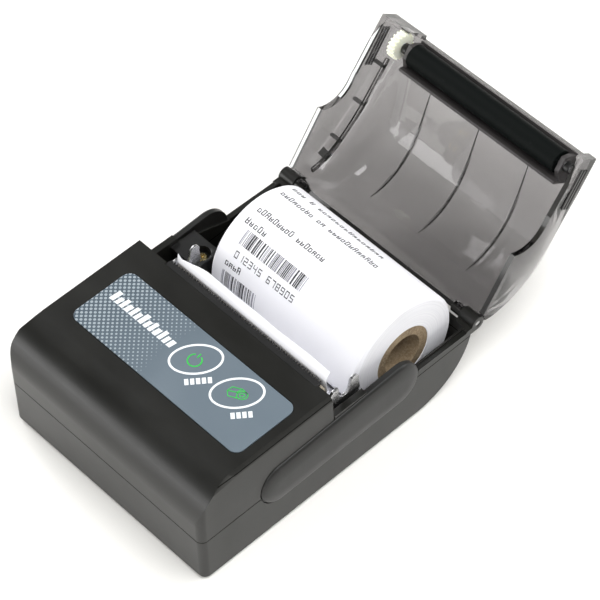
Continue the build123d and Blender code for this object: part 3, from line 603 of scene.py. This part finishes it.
def roll_print():
    """Test printout: rows of plain blocks, two bar patterns and a row of digits."""
    black, grey = bmesh.new(), bmesh.new()
    rng = random.Random(7)

    def row(x0, x1, s0, s1, count):
        """Row of blocks, each of two upright strokes and two level ones, with some left out."""
        step = (x1 - x0) / count
        tall = s1 - s0
        for i in range(count):
            if rng.random() < LEFT_OUT:
                continue
            x = x0 + i * step
            top = s0 + (tall * 0.3 if rng.random() < LOWER else 0)
            roll_box(black, x, x + STROKE, top, s1)
            second = x + STROKE_AT
            roll_box(black, second, second + STROKE, top + tall * rng.choice((0, 0.2)), s1)
            for level in rng.sample((top, (top + s1 - LEVEL) / 2, s1 - LEVEL), 2):
                roll_box(black, x + 0.1, x + 1.0, level, level + LEVEL)

    def bars(x0, x1, s0, s1):
        """Bars of mixed widths that mean nothing; those at the ends and a few others are grey."""
        x = x0
        while x < x1:
            wide = rng.choice((0.18, 0.18, 0.36, 0.54))
            target = grey if x - x0 < 1.2 or x1 - x < 1.6 or rng.random() < 0.16 else black
            roll_box(target, x, min(x + wide, x1), s0, s1)
            x += wide + rng.choice((0.18, 0.18, 0.36, 0.5))

    def digits(text, x0, x1, s0, s1):
        """Counting digits made of straight segments."""
        step = (x1 - x0) / len(text)
        wide, tall = step * 0.68, s1 - s0
        for i, sign in enumerate(text):
            x = x0 + i * step
            for part in SEGMENTS.get(sign, ""):
                left, top, right, low = SEGMENT_BOX[part]
                roll_box(black, x + left * wide, x + right * wide, s0 + top * tall, s0 + low * tall)

    # x from and to, arc length round the roll from and to, then the number of blocks
    row(-21.0, 14.5, 16.0, 17.9, 21)
    row(-20.6, 17.1, 21.4, 23.3, 24)
    row(-20.2, 5.9, 30.6, 32.5, 17)
    row(-20.5, -12.3, 35.1, 37.0, 5)
    bars(-18.0, 6.0, 38.0, 42.6)
    digits("012345 678905", -17.3, 6.2, 44.4, 46.5)
    row(-20.7, -12.9, 48.0, 50.0, 5)
    bars(-19.2, -6.0, 51.7, 56.8)
    piece("roll_print", black, BLACK_INK, "roll")
    piece("roll_print_light", grey, GREY_INK, "roll")


# the sheet from the roll up to the exit: d and height
SHEET_PATH = ((65.0, 7.75), (62.0, 10.9), (58.0, 15.1), (54.0, 19.3), (51.2, 22.3), (50.25, 24.0),
              (50.12, 27.0), (50.12, 31.0), (50.1, 34.0), (50.05, 35.4))
SHEET_EXTRA = 0.6        # beyond the roll's width on each side, mm
SHEET_THICK = 0.09
SHEET_COLUMNS = 120
FREE_ROWS = 6            # rows of the mesh above the exit
FRAY = 0.22              # depth of the small teeth along the torn edge, mm


def torn_edge(share):
    """Height of the torn edge and how far it curls back: a tip at the left, then low, then level."""
    rise = min(1.0, share / 0.2)
    rise = rise * rise * (3 - 2 * rise)
    tip = 1.3 * max(0.0, 1.0 - share / 0.02)
    ragged = 0.12 * math.sin(share * 160) * math.sin(share * 61) * (1.2 - rise)
    height = 37.0 + 1.4 * rise + tip + ragged + 0.15 * math.sin(share * 9)
    return height, 0.5 + rise


def free_paper():
    """Paper from the roll up through the exit, waved and torn along its top edge."""
    bm = bmesh.new()
    rng = random.Random(3)
    x0, x1 = ROLL_X - PAPER_HALF - SHEET_EXTRA, ROLL_X + PAPER_HALF + SHEET_EXTRA
    exit_d, exit_z = SHEET_PATH[-1]
    sides = []
    for in_front, shift in ((True, 0.0), (False, SHEET_THICK)):
        grid = []
        for i in range(SHEET_COLUMNS + 1):
            x = x0 + (x1 - x0) * i / SHEET_COLUMNS
            cut = rng.random() * FRAY if in_front else 0.0
            top, curl = torn_edge((x - x0) / (x1 - x0))
            line = list(SHEET_PATH)
            for row in range(1, FREE_ROWS + 1):
                share = row / FREE_ROWS
                lean = curl * share ** 1.7 + 0.08 * math.sin(x * 0.32) * share
                line.append((exit_d + lean, exit_z + (top - exit_z) * share))
            line[-1] = (line[-1][0], line[-1][1] - cut)
            grid.append([bm.verts.new(at(x, d + shift, z)) for d, z in line])
        sides.append(grid)
    front, back = sides
    last = len(SHEET_PATH) + FREE_ROWS - 1
    for i in range(SHEET_COLUMNS):
        for j in range(last):
            bm.faces.new((front[i][j], front[i + 1][j], front[i + 1][j + 1], front[i][j + 1]))
            bm.faces.new((back[i][j], back[i][j + 1], back[i + 1][j + 1], back[i + 1][j]))
        bm.faces.new((front[i][last], front[i + 1][last], back[i + 1][last], back[i][last]))
        bm.faces.new((front[i][0], back[i][0], back[i + 1][0], front[i + 1][0]))
    for i in (0, SHEET_COLUMNS):
        for j in range(last):
            quad = (front[i][j], front[i][j + 1], back[i][j + 1], back[i][j])
            bm.faces.new(quad if i == 0 else tuple(reversed(quad)))
    bmesh.ops.recalc_face_normals(bm, faces=bm.faces)
    sheet = piece("free_paper", bm, SLOTS["paper"], "case")
    for polygon in sheet.data.polygons:
        polygon.use_smooth = True
    edge = sheet.modifiers.new("edges", "EDGE_SPLIT")
    edge.split_angle = math.radians(40)
    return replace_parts(sheet, "paper_web")


def open_at(x, d, z):
    """Point of the cover, given where it is when shut, in the open position."""
    pivot = at(0, *COVER_HINGE)
    away = at(x, d, z) - pivot
    cos, sin = math.cos(OPEN_TURN), math.sin(OPEN_TURN)
    return pivot + Vector((away.x, away.y * cos + away.z * sin, away.z * cos - away.y * sin))


# inside of the cover's hump when it is shut: d and height
HUMP_INSIDE = ((62.0, 37.7), (64.5, 38.5), (68.0, 39.5), (71.5, 40.5), (75.0, 41.35), (78.6, 41.95),
               (82.2, 42.2), (85.8, 41.8), (89.3, 40.9), (92.3, 39.5), (94.6, 37.8), (96.4, 35.8),
               (97.6, 34.0))
RIBS_X = (-18.5, 0.5, 19.5)
RIB_HALF, RIB_DEEP = 0.13, 0.5
LEDGE = (-37.0, -33.3)                                     # x of the left ledge's sides
LEDGE_RIBS = ((63.5, 33.2), (76.0, 32.3), (88.0, 29.9))    # d and height of the ribs under it
LEDGE_RIB_HALF = 0.42


def rib_lines():
    """Dark edges of the cover's curved ribs and of the cross ribs under its left ledge."""
    bm = bmesh.new()
    last = len(HUMP_INSIDE) - 1
    outer = []
    for i, (d, z) in enumerate(HUMP_INSIDE):
        fade = min(1.0, 0.25 + 0.25 * min(i, last - i))
        outer.append((d, z - RIB_DEEP * fade))
    for x in RIBS_X:
        strip(bm, HUMP_INSIDE, outer, -RIB_HALF, RIB_HALF,
              lambda d, z, h, x=x: open_at(x + h, d, z), closed=False)
    left, right = LEDGE
    for d, z in LEDGE_RIBS:
        low, high = z - 0.75, z + 0.5
        corners = [(left, low), (right, low), (right, high), (left, high)]
        slab(bm, corners, -LEDGE_RIB_HALF, LEDGE_RIB_HALF, lambda x, y, h, d=d: open_at(x, d + h, y))
    bmesh.ops.recalc_face_normals(bm, faces=bm.faces)
    return piece("rib_lines", bm, RIB_DARK, "cover")


key_rings()
rib_lines()
power_mark()
feed_mark()
label_marks()
roll_print()
free_paper()


# ------------------------------------------------------------------ studio

FLOOR_SIZE, FLOOR_GAP = 3.0, 0.0002    # metres; the gap keeps the ground clear of the case


def floor():
    """Wide white ground just under the printer."""
    bm = bmesh.new()
    bmesh.ops.create_grid(bm, x_segments=2, y_segments=2, size=FLOOR_SIZE)
    mesh = bpy.data.meshes.new("floor")
    bm.to_mesh(mesh)
    bm.free()
    n = Nodes("floor_white")
    n.set(Base_Color=(0.92, 0.91, 0.88), Roughness=0.6, Specular_IOR_Level=0.2)
    mesh.materials.append(n.mat)
    plane = bpy.data.objects.new("floor", mesh)
    plane.location = (0, 0, -FLOOR_GAP)
    bpy.context.scene.collection.objects.link(plane)


def area(name, where, aim, size, power):
    """White rectangular light, turned towards a point; metres and watts."""
    light = bpy.data.lights.new(name, "AREA")
    light.shape = "RECTANGLE"
    light.size, light.size_y = size
    light.energy = power
    obj = bpy.data.objects.new(name, light)
    obj.location = where
    obj.rotation_euler = (Vector(aim) - Vector(where)).to_track_quat("-Z", "Y").to_euler()
    bpy.context.scene.collection.objects.link(obj)


# brightness from the horizon up: sine of the height and grey
WALL = ((0.10, 0.10), (0.34, 0.40), (0.52, 0.40), (0.66, 0.07), (1.0, 0.07))


def world():
    """Dark overhead and at the horizon with a pale band between them, like a studio wall."""
    made = bpy.data.worlds.new("studio")
    bpy.context.scene.world = made
    made.use_nodes = True
    tree = made.node_tree
    back = tree.nodes["Background"]
    coord = tree.nodes.new("ShaderNodeTexCoord")
    split = tree.nodes.new("ShaderNodeSeparateXYZ")
    ramp = tree.nodes.new("ShaderNodeValToRGB")
    tree.links.new(coord.outputs["Generated"], split.inputs[0])
    tree.links.new(split.outputs[2], ramp.inputs[0])
    tree.links.new(ramp.outputs[0], back.inputs[0])
    ramp.color_ramp.elements.remove(ramp.color_ramp.elements[1])
    ramp.color_ramp.elements[0].color = (0.16, 0.16, 0.16, 1)
    for position, grey in WALL:
        stop = ramp.color_ramp.elements.new(position)
        stop.color = (grey, grey, grey * 0.98, 1)
    back.inputs[1].default_value = 1.0


AZIMUTH, ELEVATION, TILT = 48.8, 50.93, -2.85    # of the camera, degrees
AIM = (-11.96, 83.0, 0)                          # point of the floor in the middle of the lens
DISTANCE = 900.0                                 # from that point to the camera, mm
LENS, SENSOR = 192.04, 36.0                      # mm
SHIFT_X, SHIFT_Y = -0.0039, 0.0046


def camera():
    """Long lens from the right, front and above."""
    azimuth, elevation, tilt = (math.radians(v) for v in (AZIMUTH, ELEVATION, TILT))
    level = math.cos(elevation)
    back = Vector((math.sin(azimuth) * level, -math.cos(azimuth) * level, math.sin(elevation)))
    right = Vector((math.cos(azimuth), math.sin(azimuth), 0))
    up = back.cross(right)
    across = right * math.cos(tilt) + up * math.sin(tilt)
    above = -right * math.sin(tilt) + up * math.cos(tilt)
    turn = Matrix((across, above, back)).transposed().to_4x4()
    data = bpy.data.cameras.new("camera")
    data.lens = LENS
    data.sensor_width = SENSOR
    data.shift_x = SHIFT_X
    data.shift_y = SHIFT_Y
    data.clip_start = 0.05
    obj = bpy.data.objects.new("camera", data)
    obj.matrix_world = Matrix.Translation(at(*AIM) + back * DISTANCE * MM) @ turn
    bpy.context.scene.collection.objects.link(obj)
    bpy.context.scene.camera = obj


# name, place, aim, size and power of each light
LIGHTS = (("key", (0.35, 0.05, 0.9), (0, 0.03, 0), (0.6, 0.6), 7.0),
          ("left", (-1.0, 0.1, 0.5), (0, 0.03, 0.02), (0.6, 0.6), 10.0),
          ("front", (0.6, -0.8, 0.7), (0, 0.03, 0), (0.7, 0.7), 4.5),
          ("back", (0.3, 1.1, 0.6), (0, 0.03, 0), (0.9, 0.5), 7.0),
          ("card", (-0.30, -0.66, 0.16), (0, 0.05, 0.05), (0.8, 0.26), 2.6))

floor()
world()
camera()
for light in LIGHTS:
    area(*light)
bpy.context.scene.view_settings.view_transform = "Standard"
